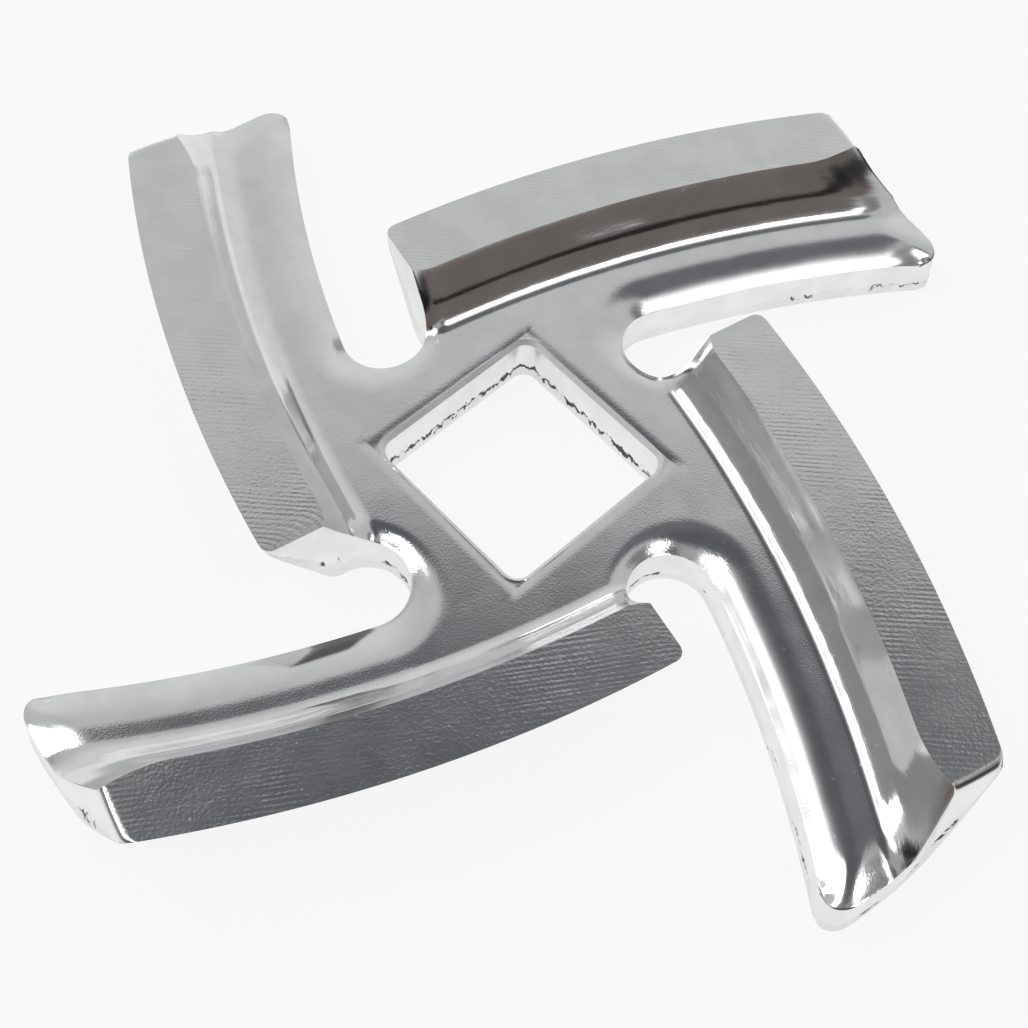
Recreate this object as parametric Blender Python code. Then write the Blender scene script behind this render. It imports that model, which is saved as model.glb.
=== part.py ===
"""Four-armed knife of a small meat grinder, pressed from one piece of steel plate.

The plate is punched to a pinwheel with a square hole. Each arm's leading side is bent up
into a lip, and the tops of the four lips are ground off to one plane, so each ends in a
flat land with a sharp leading edge. The punch has drawn the upper edges of the cuts down
a little, and the underside is flat.

Metres, +Z up. The origin is on the turning axis, at the flat underside. The first arm
points along +X with its leading edge towards +Y, and the other three are turned copies.
An arm is laid out in lanes, which are arcs about one centre, and stations across them.
"""

import bmesh
import bpy
import math

mm = 0.001

# Plate and the square hole
ARMS = 4
plate = 2.6 * mm
hole_side = 8.9 * mm
hole_corner = 0.7 * mm
hole_chamfer = 0.2 * mm
hole_roll_width = 0.7 * mm
hole_roll_depth = 0.1 * mm

# Plan of one arm: a band between two arcs about one centre, ended by a circle about the axis
knife_radius = 23.75 * mm
lead_radius = 63.05 * mm
lead_centre_x = -10.62 * mm
lead_centre_y = -49.59 * mm
arm_width = 7.6 * mm
gullet_radius = 1.95 * mm
gullet_depth = 5.35 * mm
heel_corner = 0.5 * mm
point_corner = 0.3 * mm
trail_corner = 1.45 * mm

# Lip: the ground land on top, its back wall and the ramp down to the plate's level
land_height = 2.2 * mm
land_width = 3.0 * mm
lip_angle = math.radians(59)
ramp_angle = math.radians(41)
ramp_foot = 1.75 * mm
crease_blend = 0.15 * mm
foot_blend = 0.3 * mm
front_blend = 0.6 * mm

# Rounding that the punch leaves on the upper edges of its cuts, more of it at the lips' outer ends
roll_width = 2.0 * mm
roll_depth = 0.55 * mm
tip_roll_depth = 0.4 * mm
lip_roll_width = 3.0 * mm
lip_roll_depth = 0.66 * mm
roll_sharpness = 3

# Outer end of the arm: its cut face leans back under the upper rim, most at the land's back corner
rim_lean = 0.25 * mm
corner_lean = 1.05 * mm
lean_share = 0.75
end_roll_width = 0.3 * mm
end_roll_depth = 0.2 * mm

weld = 0.002 * mm

# Where the rows of the mesh lie, as shares of the stretch that they divide
root_station_shares = (0.0, 0.04, 0.12, 0.24, 0.38, 0.54, 0.7, 0.85, 1.0)
arm_station_shares = (0.0, 0.12, 0.26, 0.4, 0.53, 0.64, 0.73, 0.8, 0.86, 0.91, 0.95, 0.98, 1.0)
end_station_shares = (0.5, 1.0)
land_lane_shares = (0.0, 0.12, 0.5, 1.0)
wall_lane_share = 0.5
foot_lane_share = 0.75
back_lane_shares = (0.13, 0.28, 0.42, 0.6, 0.78, 0.9, 1.0)
near_gullet_shares = (0.0, 0.25, 0.5, 0.75, 1.0)
far_gullet_shares = (0.0, 0.14, 0.28, 0.42, 0.56, 0.7, 0.85, 1.0)
web_lane_shares = (0.0, 0.06, 0.15, 0.27, 0.42, 0.6, 0.78, 0.91, 1.0)
gullet_side_share = 0.25
outline_steps = 24


def blend(first, last, share):
    """Value part way between two values."""
    return first + (last - first) * share


def turned(point, quarters):
    """A plan point turned about the axis by whole arm spacings."""
    angle = 2 * math.pi * quarters / ARMS
    cosine, sine = math.cos(angle), math.sin(angle)
    return (point[0] * cosine - point[1] * sine, point[0] * sine + point[1] * cosine)


def soft_max(first, second, reach):
    """The larger of two values, blended round where they are within reach of each other."""
    near = max(0.0, 1 - abs(first - second) / reach)
    return max(first, second) + near * near * reach / 4


def lane_point(angle, depth):
    """Plan point at an angle about the lead centre, at a depth behind the leading edge."""
    reach = lead_radius - depth
    return (lead_centre_x + reach * math.sin(angle), lead_centre_y + reach * math.cos(angle))


def lane_crossing(depth, centre, radius, way):
    """Angle at which a lane, going out along the arm, enters a circle (way -1) or leaves it (way 1)."""
    reach = lead_radius - depth
    across, along = centre[0] - lead_centre_x, centre[1] - lead_centre_y
    span = math.hypot(across, along)
    swing = (span ** 2 + reach ** 2 - radius ** 2) / (2 * reach * span)
    return math.atan2(across, along) + way * math.acos(max(-1.0, min(1.0, swing)))


def find_gullet():
    """Centre of the round slot before this arm. Its side touches the trailing edge of the arm before."""
    before = turned((lead_centre_x, lead_centre_y), 1)
    depth = gullet_depth - gullet_radius
    return lane_point(lane_crossing(depth, before, lead_radius - arm_width - gullet_radius, -1), depth)


# Places that follow from the driving sizes
gullet = find_gullet()
next_gullet = turned(gullet, -1)
gullet_span = lead_radius - gullet_depth + gullet_radius
gullet_angle = math.atan2(gullet[0] - lead_centre_x, gullet[1] - lead_centre_y)
heel_angle = gullet_angle + math.asin(gullet_radius / gullet_span)
heel_touch = lead_radius - math.sqrt(gullet_span ** 2 - gullet_radius ** 2)
foot_lane = heel_touch + (gullet_depth - heel_touch) * foot_lane_share
root_angle = math.atan2(next_gullet[0] - lead_centre_x, next_gullet[1] - lead_centre_y)
touch_spin = math.pi / 2 + heel_angle
low_spin = math.atan2(-gullet[0], -gullet[1])
wall_slope = math.tan(lip_angle)
ramp_slope = math.tan(ramp_angle)
wall_foot = land_width + land_height / wall_slope
ramp_end = land_width + ramp_foot
crease = (wall_foot * wall_slope - ramp_end * ramp_slope) / (wall_slope - ramp_slope)
crease_reach = crease_blend / (wall_slope - ramp_slope)
front_foot = (plate + land_height) / wall_slope
front_reach = front_blend / wall_slope
underside_start = front_foot + front_reach


def corner_inset(distance, radius):
    """How far a rounded corner draws an edge back, at a distance from the corner's other edge."""
    short = max(0.0, radius - max(0.0, distance))
    return radius - math.sqrt(radius ** 2 - short ** 2)


def heel_end(depth):
    """Angle at which a lane starts, on the straight heel or on the gullet beside it."""
    if depth < heel_touch:
        return heel_angle + corner_inset(depth, heel_corner) / lead_radius
    return lane_crossing(depth, gullet, gullet_radius, 1)


def tip_end(depth):
    """Angle at which a lane ends on the tip."""
    inset = corner_inset(depth, point_corner) + corner_inset(arm_width - depth, trail_corner)
    return lane_crossing(depth, (0.0, 0.0), knife_radius, 1) - inset / lead_radius


def rim_end(depth):
    """Angle at which a lane of the upper face ends, on the rim of the leaning end face."""
    peak = land_width * lean_share
    if depth < peak:
        lean = corner_lean * depth / peak
    else:
        lean = blend(corner_lean, rim_lean, min(1.0, (depth - peak) / (crease - peak)))
    return tip_end(depth) - lean / lead_radius


def gullet_arc(centre, first, last, shares):
    """Points on a gullet between two directions, measured from +Y towards +X."""
    spins = [blend(first, last, share) for share in shares]
    return [(centre[0] + gullet_radius * math.sin(spin), centre[1] + gullet_radius * math.cos(spin))
            for spin in spins]


def cut_lines():
    """The edges with a rolled border: the four slots, each from heel to tip, and this arm's tip."""
    steps = [step / outline_steps for step in range(outline_steps + 1)]
    contact = root_angle + 3 * math.pi / 2
    slot = [lane_point(heel_angle, 0.0)] + gullet_arc(gullet, touch_spin, contact, steps)
    slot += [turned(lane_point(blend(root_angle, rim_end(arm_width), step), arm_width), 1)
             for step in steps[1:]]
    tip = [lane_point(rim_end(arm_width * step), arm_width * step) for step in steps]
    return [[turned(point, quarter) for point in slot] for quarter in range(ARMS)], tip


def line_distance(point, line):
    """Shortest distance from a plan point to a run of plan points."""
    best = math.inf
    for (ax, ay), (bx, by) in zip(line, line[1:]):
        dx, dy = bx - ax, by - ay
        share = ((point[0] - ax) * dx + (point[1] - ay) * dy) / (dx * dx + dy * dy)
        share = max(0.0, min(1.0, share))
        best = min(best, math.hypot(point[0] - ax - share * dx, point[1] - ay - share * dy))
    return best


def lane_depth(plan):
    """Depth of a plan point behind the leading edge."""
    return lead_radius - math.hypot(plan[0] - lead_centre_x, plan[1] - lead_centre_y)


def roll_draw(plan, line, width, depth):
    """Root of how far one cut edge draws the upper face in."""
    return math.sqrt(depth) * max(0.0, 1 - line_distance(plan, line) / width)


def roll_at(plan, lines):
    """How far the upper face is drawn in near the cut edges, square to itself."""
    slots, tip = lines
    lip = max(0.0, min(1.0, (ramp_end - lane_depth(plan)) / (ramp_end - land_width)))
    draws = [roll_draw(plan, line, roll_width, roll_depth) for line in slots]
    draws.append(roll_draw(plan, tip, blend(roll_width, lip_roll_width, lip),
                           blend(tip_roll_depth, lip_roll_depth, lip)))
    return sum(draw ** roll_sharpness for draw in draws) ** (2 / roll_sharpness)


def hole_roll_at(plan):
    """How far the upper face is drawn in near the square hole."""
    reach = hole_side / 2 + hole_chamfer
    gap = max(0.0, abs(plan[0]) - reach, abs(plan[1]) - reach)
    near = max(0.0, 1 - gap / hole_roll_width)
    return hole_roll_depth * near * near


def lip_height(depth, drop):
    """Height of the lip's wall, ramp and foot over the plate's level, all drawn in by the same amount."""
    wall = (wall_foot - depth) * wall_slope - drop * math.hypot(1.0, wall_slope)
    ramp = (ramp_end - depth) * ramp_slope - drop * math.hypot(1.0, ramp_slope)
    return soft_max(soft_max(wall, ramp, crease_blend + drop), -drop, foot_blend)


def upper_point(plan, lines):
    """Point of the upper face above a plan point. The lip fades out by the gullet."""
    side = (plan[0] * gullet[1] - plan[1] * gullet[0]) / math.hypot(*gullet)
    share = max(0.0, min(1.0, side / gullet_radius))
    fade = share * share * (3 - 2 * share)
    drop = roll_at(plan, lines)
    height = blend(-drop, lip_height(lane_depth(plan), drop), fade)
    return (*plan, plate + height - hole_roll_at(plan))


def land_point(place, depth, end_share, lines):
    """Point of the ground land, or of the rounded border beyond its outer end."""
    end_drop = end_roll_depth * end_share * end_share
    drop = roll_at(place(land_width), lines) / math.sin(lip_angle)
    back = land_width - max(0.0, drop - end_drop / wall_slope)
    shifted = blend(end_drop / wall_slope, back, depth / land_width)
    return (*place(shifted), plate + land_height - end_drop)


def lower_point(place, depth, end_share):
    """Point of the lower face, which rises in front to meet the leading edge."""
    front = end_roll_depth * end_share * end_share / wall_slope
    shifted = max(depth, blend(front, underside_start, min(1.0, depth / underside_start)))
    return (*place(shifted), soft_max((front_foot - shifted) * wall_slope, 0.0, front_blend))


def lane_depths():
    """Depths of all lanes, and where the underside's first flat lane and the foot lane stand."""
    keys = [land_width * share for share in land_lane_shares]
    keys += [front_foot - front_reach, front_foot, underside_start]
    keys += [blend(land_width, crease, wall_lane_share), crease - crease_reach, crease, crease + crease_reach]
    near = sorted(key for key in keys if key < foot_lane - weld) + [foot_lane]
    return near + [blend(foot_lane, arm_width, share) for share in back_lane_shares]


def root_places():
    """For each station between heel and root, the function from a depth to its plan point."""
    def placed(share):
        return lambda depth: lane_point(blend(heel_end(depth), root_angle, share), depth)
    return [(placed(share), 0.0) for share in root_station_shares]


def arm_places(end):
    """As root_places, from root to tip, where the given function is each lane's outer angle."""
    reach = end_roll_width / lead_radius

    def placed(share):
        return lambda depth: lane_point(blend(root_angle, end(depth) - reach, share), depth)

    def placed_end(share):
        return lambda depth: lane_point(end(depth) - reach * (1 - share), depth)
    body = [(placed(share), 0.0) for share in arm_station_shares]
    return body + [(placed_end(share), share) for share in end_station_shares]


def upper_rows(places, depths, lines):
    """Points of the upper face and the land at the given stations, one row to a station."""
    rows = []
    for place, end_share in places:
        row = []
        for depth in depths:
            if depth < land_width + weld:
                row.append(land_point(place, depth, end_share, lines))
            else:
                row.append(upper_point(place(depth), lines))
        rows.append(row)
    return rows


def lower_rows(places, depths):
    """Points of the lower face at the given stations, one row to a station."""
    return [[lower_point(place, depth, end_share) for depth in depths] for place, end_share in places]


def hole_path(counts, inset):
    """Quarter of the square hole's outline, from the middle of its +Y side to that of its +X side.

    The counts say how many steps face this gullet, the lip, the arm's root and the next gullet.
    The inset is measured from the chamfer's rim.
    """
    half = hole_side / 2 + hole_chamfer
    radius = hole_corner + hole_chamfer
    straight = half - radius
    near = straight * gullet_side_share
    path = [(near * step / counts[0], half - inset) for step in range(counts[0])]
    path += [(blend(near, straight, step / counts[1]), half - inset) for step in range(counts[1])]
    for step in range(counts[2]):
        spin = math.pi / 2 * step / counts[2]
        reach = radius - inset
        path.append((straight + reach * math.sin(spin), straight + reach * math.cos(spin)))
    return path + [(half - inset, straight * (1 - step / counts[3])) for step in range(counts[3] + 1)]


def hub_grid(foot_row, root_column, lines):
    """Points of the hub, in rows from the gullets and the lip's foot in to the hole."""
    start = math.atan2(foot_row[0][0] - gullet[0], foot_row[0][1] - gullet[1])
    low = low_spin if low_spin > 0 else low_spin + 2 * math.pi
    outer = gullet_arc(gullet, low, start, near_gullet_shares)[:-1] + foot_row[:-1] + root_column[:-1]
    outer += gullet_arc(next_gullet, root_angle, low - 3 * math.pi / 2, far_gullet_shares)
    counts = [len(part) - 1 for part in (near_gullet_shares, foot_row, root_column, far_gullet_shares)]
    rim = hole_path(counts, 0.0)
    rows = []
    for share in web_lane_shares:
        row = [(blend(x, u, share), blend(y, v, share)) for (x, y), (u, v) in zip(outer, rim)]
        rows.append([upper_point(plan, lines) for plan in row])
    return rows, counts


def add_grid(bm, rows):
    """Quads between neighbouring rows of points."""
    verts = [[bm.verts.new(point) for point in row] for row in rows]
    for row, following in zip(verts, verts[1:]):
        for index in range(len(row) - 1):
            bm.faces.new((row[index], row[index + 1], following[index + 1], following[index]))


def on_floor(points):
    """The same plan points, on the underside."""
    return [(x, y, 0.0) for x, y, _ in points]


def hole_rows(rim, counts):
    """Rows down the wall of the hole, from the chamfer's rim to the underside."""
    wall = hole_path(counts, hole_chamfer)
    inner = [(*plan, point[2] - hole_chamfer) for plan, point in zip(wall, rim)]
    return [rim, inner, on_floor(inner)]


def build_quarter(bm):
    """One arm with its share of the hub: upper face, walls, hole and the lip's front."""
    lines = cut_lines()
    depths = lane_depths()
    foot = depths.index(foot_lane)
    flat = depths.index(underside_start)
    root_upper = upper_rows(root_places(), depths[:foot + 1], lines)
    root_lower = lower_rows(root_places(), depths[:foot + 1])
    arm_upper = upper_rows(arm_places(rim_end), depths, lines)
    arm_lower = lower_rows(arm_places(tip_end), depths)
    foot_row = [row[-1][:2] for row in root_upper]
    root_column = [point[:2] for point in arm_upper[0][foot:]]
    hub, counts = hub_grid(foot_row, root_column, lines)
    add_grid(bm, root_upper)
    add_grid(bm, arm_upper)
    add_grid(bm, hub)
    add_grid(bm, [row[:flat + 1] for row in root_lower])
    add_grid(bm, [row[:flat + 1] for row in arm_lower])
    add_grid(bm, [root_upper[0], root_lower[0]])
    add_grid(bm, [arm_upper[-1], arm_lower[-1]])
    add_grid(bm, [[row[-1] for row in arm_upper], [row[-1] for row in arm_lower]])
    for rim in (hub[0][:counts[0] + 1], hub[0][-counts[3] - 1:]):
        add_grid(bm, [rim, on_floor(rim)])
    add_grid(bm, hole_rows(hub[-1], counts))


def build_knife():
    """The whole knife as one closed mesh object."""
    bm = bmesh.new()
    build_quarter(bm)
    quarter = bm.verts[:] + bm.edges[:] + bm.faces[:]
    bmesh.ops.spin(bm, geom=quarter, cent=(0.0, 0.0, 0.0), axis=(0.0, 0.0, 1.0),
                   angle=2 * math.pi * (ARMS - 1) / ARMS, steps=ARMS - 1, use_duplicate=True)
    bmesh.ops.remove_doubles(bm, verts=bm.verts, dist=weld)
    open_edges = [edge for edge in bm.edges if edge.is_boundary]
    bmesh.ops.triangle_fill(bm, edges=open_edges, use_beauty=True, normal=(0.0, 0.0, -1.0))
    bmesh.ops.recalc_face_normals(bm, faces=bm.faces)
    mesh = bpy.data.meshes.new("knife")
    bm.to_mesh(mesh)
    bm.free()
    knife = bpy.data.objects.new("knife", mesh)
    bpy.context.scene.collection.objects.link(knife)
    return knife


def steel_material():
    """Bright pressed steel."""
    material = bpy.data.materials.new("pressed_steel")
    material.use_nodes = True
    shader = material.node_tree.nodes["Principled BSDF"]
    shader.inputs["Base Color"].default_value = (0.62, 0.62, 0.63, 1.0)
    shader.inputs["Metallic"].default_value = 1.0
    shader.inputs["Roughness"].default_value = 0.25
    return material


def main():
    """Clear the scene and build the knife."""
    for old in list(bpy.data.objects):
        bpy.data.objects.remove(old, do_unlink=True)
    knife = build_knife()
    knife.data.materials.append(steel_material())
    knife.data.shade_smooth()
    knife.data.set_sharp_from_angle(angle=math.radians(25))


main()
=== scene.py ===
"""Dressed model of a small meat grinder's knife, pressed from one piece of steel plate.

The knife is shaped again here as one fine mesh, in lanes along each arm and stations across it,
with a finish for each kind of surface: the pressed upper face, the ground lands, the sheared cut
walls, the broken edge of the hole and the underside. It replaces the plain solid and keeps its
sizes. In the plan the first arm's leading edge runs from near +Y out to its tip near +X.
"""

import logging
import math
from collections.abc import Callable
from dataclasses import dataclass, field
from enum import Enum
from functools import partial

import bmesh
import bpy
import numpy as np
from mathutils import Matrix, Quaternion, Vector, noise


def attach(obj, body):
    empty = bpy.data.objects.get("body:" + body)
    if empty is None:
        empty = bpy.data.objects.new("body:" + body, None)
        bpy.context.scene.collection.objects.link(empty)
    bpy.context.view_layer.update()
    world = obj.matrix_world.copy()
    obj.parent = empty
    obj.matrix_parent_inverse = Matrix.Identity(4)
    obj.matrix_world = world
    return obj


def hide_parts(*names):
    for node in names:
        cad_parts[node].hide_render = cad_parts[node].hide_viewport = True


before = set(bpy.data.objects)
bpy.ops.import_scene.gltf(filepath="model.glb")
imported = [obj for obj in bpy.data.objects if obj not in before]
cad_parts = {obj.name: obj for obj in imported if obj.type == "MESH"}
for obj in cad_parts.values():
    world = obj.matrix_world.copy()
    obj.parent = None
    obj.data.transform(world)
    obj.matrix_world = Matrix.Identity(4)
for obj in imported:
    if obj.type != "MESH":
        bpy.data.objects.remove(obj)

MM = 0.001
ARMS = 4
log = logging.getLogger("knife")

Value = float | np.ndarray
Place = Callable[[np.ndarray], np.ndarray]
Station = tuple[Place, float]
Socket = bpy.types.NodeSocket
Span = tuple[float, float]
Triple = tuple[float, float, float]


class Surface(Enum):
    """Kinds of surface on the knife. The value is the material's index on the mesh."""

    PRESSED = 0
    GROUND = 1
    SHEARED = 2
    UNDERSIDE = 3
    EDGE = 4


class Detail(Enum):
    """How many layers of ever finer noise are laid over each other."""

    PLAIN = 1.0
    LIGHT = 2.0
    RICH = 3.0
    FULL = 4.0


def blend(first: Value, last: Value, share: Value) -> Value:
    """Value part way between two values."""
    return first + (last - first) * share


def eased(share: np.ndarray) -> np.ndarray:
    """Share that leaves 0 and reaches 1 gently."""
    return share * share * (3 - 2 * share)


def turned(plan: np.ndarray, quarters: int) -> np.ndarray:
    """Turn plan points about the axis by whole arm spacings.

    Args:
        plan: points as (..., 2).
        quarters: arm spacings, counter-clockwise from above.

    Returns:
        The turned points.
    """
    angle = 2 * math.pi * quarters / ARMS
    cosine, sine = math.cos(angle), math.sin(angle)
    x, y = plan[..., 0], plan[..., 1]
    return np.stack((x * cosine - y * sine, x * sine + y * cosine), axis=-1)


def soft_max(first: Value, second: Value, reach: Value) -> np.ndarray:
    """The larger of two values, blended round where they are within reach of each other."""
    near = np.maximum(0.0, 1 - np.abs(first - second) / reach)
    return np.maximum(first, second) + near * near * reach / 4


def corner_inset(distance: np.ndarray, radius: float) -> np.ndarray:
    """How far a rounded corner draws an edge back, at distances from the corner's other edge."""
    short = np.maximum(0.0, radius - np.maximum(0.0, distance))
    return radius - np.sqrt(radius**2 - short**2)


def line_distances(plan: np.ndarray, line: np.ndarray) -> np.ndarray:
    """Distances from plan points to each step of a run of plan points.

    Args:
        plan: points as (..., 2).
        line: the run's points as (n, 2).

    Returns:
        The distances as (..., n - 1).
    """
    start, step = line[:-1], line[1:] - line[:-1]
    away = plan[..., None, :] - start
    share = np.clip((away * step).sum(-1) / (step * step).sum(-1), 0.0, 1.0)
    return np.linalg.norm(away - share[..., None] * step, axis=-1)


def refined(keys: list[float], pitch: float) -> np.ndarray:
    """Put even steps between sorted keys.

    Args:
        keys: values that have to stay.
        pitch: the longest step.

    Returns:
        The keys and the values between them.
    """
    values = [keys[0]]
    for low, high in zip(keys, keys[1:]):
        steps = max(1, math.ceil((high - low) / pitch - 1e-6))
        values += [low + (high - low) * step / steps for step in range(1, steps + 1)]
    return np.array(values)


@dataclass(frozen=True)
class ArmPlan:
    """Plan of one arm: a band between two arcs about one centre, ended by a circle about the axis."""

    tip_radius: float = 23.75 * MM
    lead_radius: float = 63.05 * MM
    lead_x: float = -10.62 * MM
    lead_y: float = -49.59 * MM
    width: float = 7.6 * MM
    gullet_radius: float = 1.95 * MM
    gullet_depth: float = 5.35 * MM
    heel_corner: float = 0.5 * MM
    point_corner: float = 0.3 * MM
    trail_corner: float = 1.45 * MM

    def lane_point(self, angle: Value, depth: Value) -> np.ndarray:
        """Plan points at angles about the lead centre, at depths behind the leading edge."""
        reach = self.lead_radius - depth
        return np.stack((self.lead_x + reach * np.sin(angle), self.lead_y + reach * np.cos(angle)), axis=-1)

    def depth_of(self, plan: np.ndarray) -> np.ndarray:
        """Depth of plan points behind the leading edge."""
        return self.lead_radius - np.hypot(plan[..., 0] - self.lead_x, plan[..., 1] - self.lead_y)

    def crossing(self, depth: Value, centre: np.ndarray, radius: float, way: int) -> np.ndarray:
        """Angle at which a lane, going out along the arm, meets a circle.

        Args:
            depth: the lane's depth behind the leading edge.
            centre: the circle's centre.
            radius: the circle's radius.
            way: -1 where the lane enters the circle, 1 where it leaves.

        Returns:
            The angle about the lead centre, from +Y towards +X.
        """
        reach = self.lead_radius - depth
        across, along = centre[0] - self.lead_x, centre[1] - self.lead_y
        span = math.hypot(across, along)
        swing = (span**2 + reach**2 - radius**2) / (2 * reach * span)
        return math.atan2(across, along) + way * np.arccos(np.clip(swing, -1.0, 1.0))

    @property
    def gullet(self) -> np.ndarray:
        """Centre of the round slot before this arm, which touches the trailing edge of the arm before.

        Returns:
            The plan point.
        """
        before = turned(np.array((self.lead_x, self.lead_y)), 1)
        depth = self.gullet_depth - self.gullet_radius
        reach = self.lead_radius - self.width - self.gullet_radius
        return self.lane_point(self.crossing(depth, before, reach, -1), depth)

    @property
    def gullet_span(self) -> float:
        """Distance from the lead centre to the gullet's centre."""
        return self.lead_radius - self.gullet_depth + self.gullet_radius

    @property
    def heel_angle(self) -> float:
        """Angle of the straight heel about the lead centre."""
        angle = math.atan2(self.gullet[0] - self.lead_x, self.gullet[1] - self.lead_y)
        return angle + math.asin(self.gullet_radius / self.gullet_span)

    @property
    def heel_touch(self) -> float:
        """Depth at which the heel runs into the gullet."""
        return self.lead_radius - math.sqrt(self.gullet_span**2 - self.gullet_radius**2)

    @property
    def root_angle(self) -> float:
        """Angle at which the arm's trailing edge leaves the next gullet."""
        after = turned(self.gullet, -1)
        return math.atan2(after[0] - self.lead_x, after[1] - self.lead_y)

    def heel_end(self, depth: np.ndarray) -> np.ndarray:
        """Angle at which lanes start, on the straight heel or on the gullet beside it.

        Args:
            depth: the lanes' depths behind the leading edge.

        Returns:
            The angles about the lead centre.
        """
        straight = self.heel_angle + corner_inset(depth, self.heel_corner) / self.lead_radius
        curved = self.crossing(depth, self.gullet, self.gullet_radius, 1)
        return np.where(depth < self.heel_touch, straight, curved)

    def tip_end(self, depth: np.ndarray) -> np.ndarray:
        """Angle at which lanes of the lower face end on the tip."""
        inset = corner_inset(depth, self.point_corner) + corner_inset(self.width - depth, self.trail_corner)
        return self.crossing(depth, np.zeros(2), self.tip_radius, 1) - inset / self.lead_radius

    def gullet_arc(self, centre: np.ndarray, first: float, last: float, shares: np.ndarray) -> np.ndarray:
        """Points on a gullet between two directions, measured from +Y towards +X."""
        spins = blend(first, last, shares)
        return centre + self.gullet_radius * np.stack((np.sin(spins), np.cos(spins)), axis=-1)


@dataclass(frozen=True)
class LipForm:
    """Section of the bent-up lip, and the rounding that the punch leaves on the cut edges."""

    plate: float = 2.6 * MM
    land_height: float = 2.2 * MM
    land_width: float = 3.0 * MM
    wall_slope: float = math.tan(math.radians(59))
    ramp_slope: float = math.tan(math.radians(41))
    ramp_foot: float = 1.75 * MM
    crease_blend: float = 0.15 * MM
    foot_blend: float = 0.3 * MM
    front_blend: float = 0.6 * MM
    roll_width: float = 2.0 * MM
    roll_depth: float = 0.55 * MM
    gullet_roll_width: float = 1.0 * MM
    gullet_roll_depth: float = 0.28 * MM
    narrow_share: float = 0.35
    tip_roll_depth: float = 0.4 * MM
    lip_roll_width: float = 3.0 * MM
    lip_roll_depth: float = 0.66 * MM
    roll_sharpness: float = 3.0
    rim_lean: float = 0.25 * MM
    corner_lean: float = 1.05 * MM
    lean_share: float = 0.75
    end_roll_width: float = 0.3 * MM
    end_roll_depth: float = 0.2 * MM

    @property
    def wall_foot(self) -> float:
        """Depth at which the lip's wall would meet the plate's level."""
        return self.land_width + self.land_height / self.wall_slope

    @property
    def ramp_end(self) -> float:
        """Depth at which the ramp meets the plate's level."""
        return self.land_width + self.ramp_foot

    @property
    def crease(self) -> float:
        """Depth at which the wall meets the ramp."""
        rise = self.wall_foot * self.wall_slope - self.ramp_end * self.ramp_slope
        return rise / (self.wall_slope - self.ramp_slope)

    @property
    def crease_reach(self) -> float:
        """How far the blend of the crease reaches to each side."""
        return self.crease_blend / (self.wall_slope - self.ramp_slope)

    @property
    def front_foot(self) -> float:
        """Depth at which the lip's front meets the underside."""
        return (self.plate + self.land_height) / self.wall_slope

    @property
    def underside_start(self) -> float:
        """Depth from which the underside is flat."""
        return self.front_foot + self.front_blend / self.wall_slope

    def height(self, depth: np.ndarray, drop: np.ndarray) -> np.ndarray:
        """Height of the lip's wall, ramp and foot over the plate's level, all drawn in alike.

        Args:
            depth: distance behind the leading edge.
            drop: how far the face is drawn in, square to itself.

        Returns:
            The height.
        """
        wall = (self.wall_foot - depth) * self.wall_slope - drop * math.hypot(1.0, self.wall_slope)
        ramp = (self.ramp_end - depth) * self.ramp_slope - drop * math.hypot(1.0, self.ramp_slope)
        return soft_max(soft_max(wall, ramp, self.crease_blend + drop), -drop, self.foot_blend)

    def lean(self, depth: np.ndarray) -> np.ndarray:
        """How far the end face leans back under the upper rim.

        Args:
            depth: the lanes' depths behind the leading edge.

        Returns:
            The lean along each lane.
        """
        peak = self.land_width * self.lean_share
        front = self.corner_lean * depth / peak
        back = np.clip((depth - peak) / (self.crease - peak), 0.0, 1.0)
        return np.where(depth < peak, front, blend(self.corner_lean, self.rim_lean, back))

    def lip_share(self, depth: np.ndarray) -> np.ndarray:
        """1 on the lip's wall, falling to 0 at the ramp's end."""
        return np.clip((self.ramp_end - depth) / (self.ramp_end - self.land_width), 0.0, 1.0)


@dataclass(frozen=True)
class DriveHole:
    """The square hole with rounded corners, its chamfer and the rounding about it."""

    side: float = 8.9 * MM
    corner: float = 0.7 * MM
    chamfer: float = 0.2 * MM
    roll_width: float = 0.5 * MM
    roll_depth: float = 0.04 * MM
    gullet_side_share: float = 0.25

    def roll_at(self, plan: np.ndarray) -> np.ndarray:
        """How far the upper face is drawn in near the hole.

        Args:
            plan: plan points as (..., 2).

        Returns:
            The drop at each point.
        """
        reach = self.side / 2 + self.chamfer
        gap = np.maximum(0.0, np.abs(plan).max(-1) - reach)
        near = np.maximum(0.0, 1 - gap / self.roll_width)
        return self.roll_depth * near * near

    def path(self, counts: list[int], inset: float) -> np.ndarray:
        """Quarter of the hole's outline, from the middle of its +Y side to that of its +X side.

        Args:
            counts: steps that face this gullet, the lip, the arm's root and the next gullet.
            inset: distance in from the chamfer's rim.

        Returns:
            The path's plan points.
        """
        half = self.side / 2 + self.chamfer
        radius = self.corner + self.chamfer
        straight = half - radius
        near = straight * self.gullet_side_share
        level = half - inset
        points = [(near * step / counts[0], level) for step in range(counts[0])]
        points += [(blend(near, straight, step / counts[1]), level) for step in range(counts[1])]
        for step in range(counts[2]):
            spin = math.pi / 2 * step / counts[2]
            reach = radius - inset
            points.append((straight + reach * math.sin(spin), straight + reach * math.cos(spin)))
        points += [(level, straight * (1 - step / counts[3])) for step in range(counts[3] + 1)]
        return np.array(points)


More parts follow.
